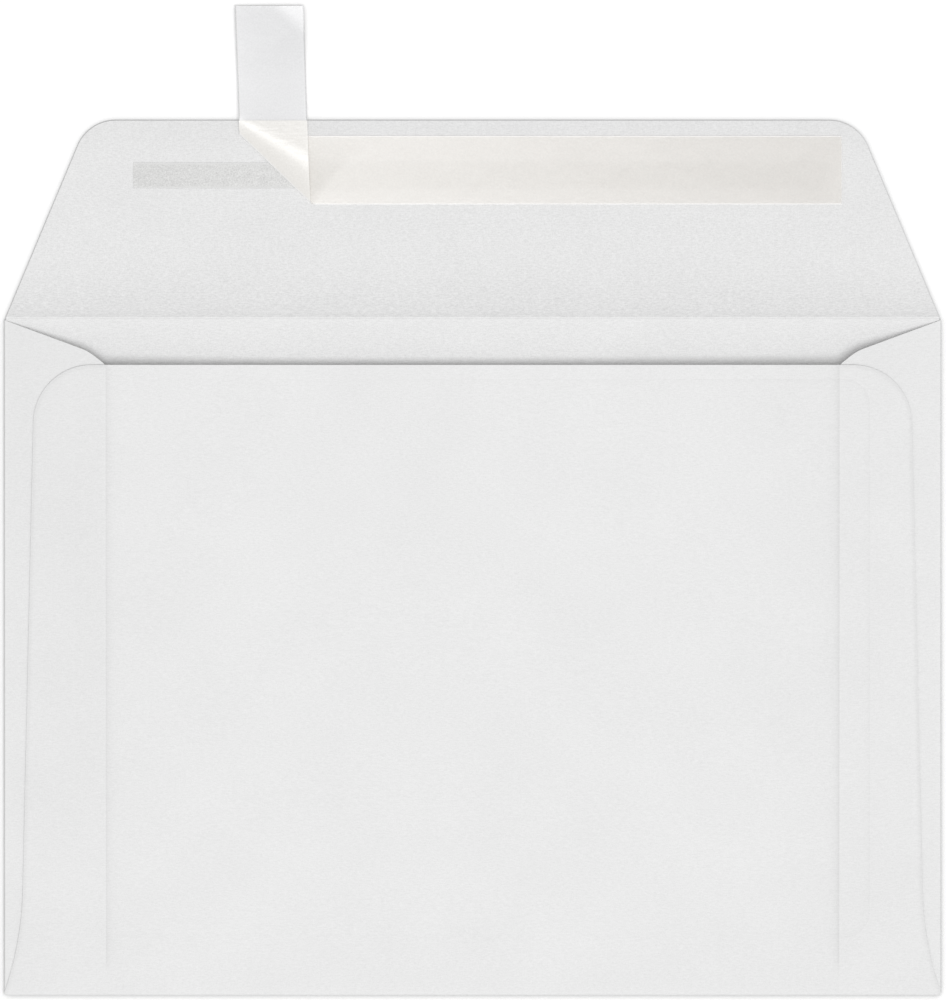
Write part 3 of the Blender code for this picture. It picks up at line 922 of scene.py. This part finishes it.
peeling, liner_sizes = liner_tree(liner)
fold_length = FOLD_RADIUS * FOLD_TURN
past_places = evenly(0, fold_length, fold_length / FOLD_STEPS)
past_places += evenly(fold_length, PEELED_REACH, PEELED_STEP)[1:]
along_places = evenly(-FOLD_HALF_LENGTH, FOLD_HALF_LENGTH, ALONG_FOLD_STEP)
liner_cuts = [((fold_start + fold_across * d).to_3d(), fold_across.to_3d()) for d in past_places]
liner_cuts += [((fold_start + fold_along * d).to_3d(), fold_along.to_3d()) for d in along_places]
liner_cuts += upright_cuts(evenly(liner_low.x + FLAT_START, liner_high.x, FLAT_STEP)[1:-1])
liner_corners = [
    Vector((liner_low.x + LINER_END_SLANT, liner_low.y)),
    Vector((liner_high.x, liner_low.y)),
    Vector((liner_high.x, liner_high.y)),
    Vector((liner_low.x, liner_high.y)),
]
liner_sheet = cut_sheet(liner_corners, liner_cuts)
bmesh.ops.translate(liner_sheet, verts=liner_sheet.verts[:], vec=(0, 0, (liner_low.z + liner_high.z) / 2))
liner_strip = piece_from(liner_sheet, "liner_strip")
liner_strip.data.materials.append(liner)
add_tree(liner_strip, peeling, liner_sizes)
add_thickness(liner_strip, LINER_THICKNESS)
finished(liner_strip)
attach(liner_strip, "root")
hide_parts("release_liner")

# The studio: a plain white table. The camera sees it as paper white, with a soft halo of painted shade
# round the envelope, taken from ambient occlusion, and other rays see it as a lighter grey, so that it
# doesn't flood the envelope from below.
TABLE_SIZE = 6.0
TABLE_DROP = 0.0005
TABLE_GREY = (0.8, 0.8, 0.8, 1)
TABLE_GLOW = 0.06
HALO_WIDTH = 0.0015
HALO_POWER = 0.75
HALO_SAMPLES = 16
BLACK = (0, 0, 0, 1)
table_sheet = bmesh.new()
bmesh.ops.create_grid(table_sheet, x_segments=1, y_segments=1, size=TABLE_SIZE / 2)
bmesh.ops.translate(table_sheet, verts=table_sheet.verts[:], vec=(0, 0, -TABLE_DROP))
table = piece_from(table_sheet, "table")
table_white, start, surface = blank_material("white table")
rays = start.node("ShaderNodeLightPath", {}, {}, output="Is Camera Ray")
for kind in ("Is Glossy Ray", "Is Transmission Ray"):
    rays = rays + start.node("ShaderNodeLightPath", {}, {}, output=kind)
seen = rays.between(0, 1)
# Painted shade: ambient occlusion darkens the table's white where the envelope is close
near_settings = {"samples": HALO_SAMPLES}
near = start.node("ShaderNodeAmbientOcclusion", near_settings, {"Distance": HALO_WIDTH}, output="AO")
shade = near ** HALO_POWER
white = start.node("ShaderNodeCombineXYZ", {}, {0: shade, 1: shade, 2: shade})
give(surface, {
    "Base Color": seen.blend(TABLE_GREY, white),
    "Roughness": 1.0,
    "Specular IOR Level": 0.0,
    "Emission Color": seen.blend(BLACK, white),
    "Emission Strength": TABLE_GLOW,
})
table.data.materials.append(table_white)

# Soft light from everywhere, a broad lamp from the envelope's bottom edge, and a smaller one nearly
# overhead that catches the liner's bend. Together they light a level white sheet to white.
WORLD_LEVEL = 0.43
KEY_LEVEL = 0.50
OVERHEAD_LEVEL = 0.07
world = bpy.data.worlds.new("even white studio")
world.use_nodes = True
world.node_tree.nodes["Background"].inputs["Color"].default_value = (1, 1, 1, 1)
world.node_tree.nodes["Background"].inputs["Strength"].default_value = WORLD_LEVEL
bpy.context.scene.world = world


def add_lamp(name, elevation, azimuth, angle, level):
    """A far lamp that wide, from that direction, which lights a level white sheet that much."""
    data = bpy.data.lights.new(name, "SUN")
    data.angle = math.radians(angle)
    data.energy = level * math.pi / math.sin(math.radians(elevation))
    lamp = bpy.data.objects.new(name, data)
    upright = Vector((0, 0, 1))
    tilt = Matrix.Rotation(math.radians(90 - elevation), 3, "Y")
    turn = Matrix.Rotation(math.radians(azimuth), 3, "Z")
    lamp.rotation_euler = (turn @ tilt @ upright).to_track_quat("Z", "Y").to_euler()
    bpy.context.scene.collection.objects.link(lamp)


add_lamp("soft key", elevation=77, azimuth=-64, angle=28, level=KEY_LEVEL)
add_lamp("overhead", elevation=82, azimuth=184, angle=14, level=OVERHEAD_LEVEL)

# The camera looks straight down from over three metres up, through a very long lens.
LENS_MM = 600
SENSOR_WIDTH_MM = 36
CAMERA_PLACE = (0.00008, -0.03594, 3.2783)
camera_data = bpy.data.cameras.new("camera")
camera_data.lens = LENS_MM
camera_data.sensor_width = SENSOR_WIDTH_MM
camera = bpy.data.objects.new("camera", camera_data)
camera.location = CAMERA_PLACE
bpy.context.scene.collection.objects.link(camera)
bpy.context.scene.camera = camera
bpy.context.scene.view_settings.view_transform = "Standard"
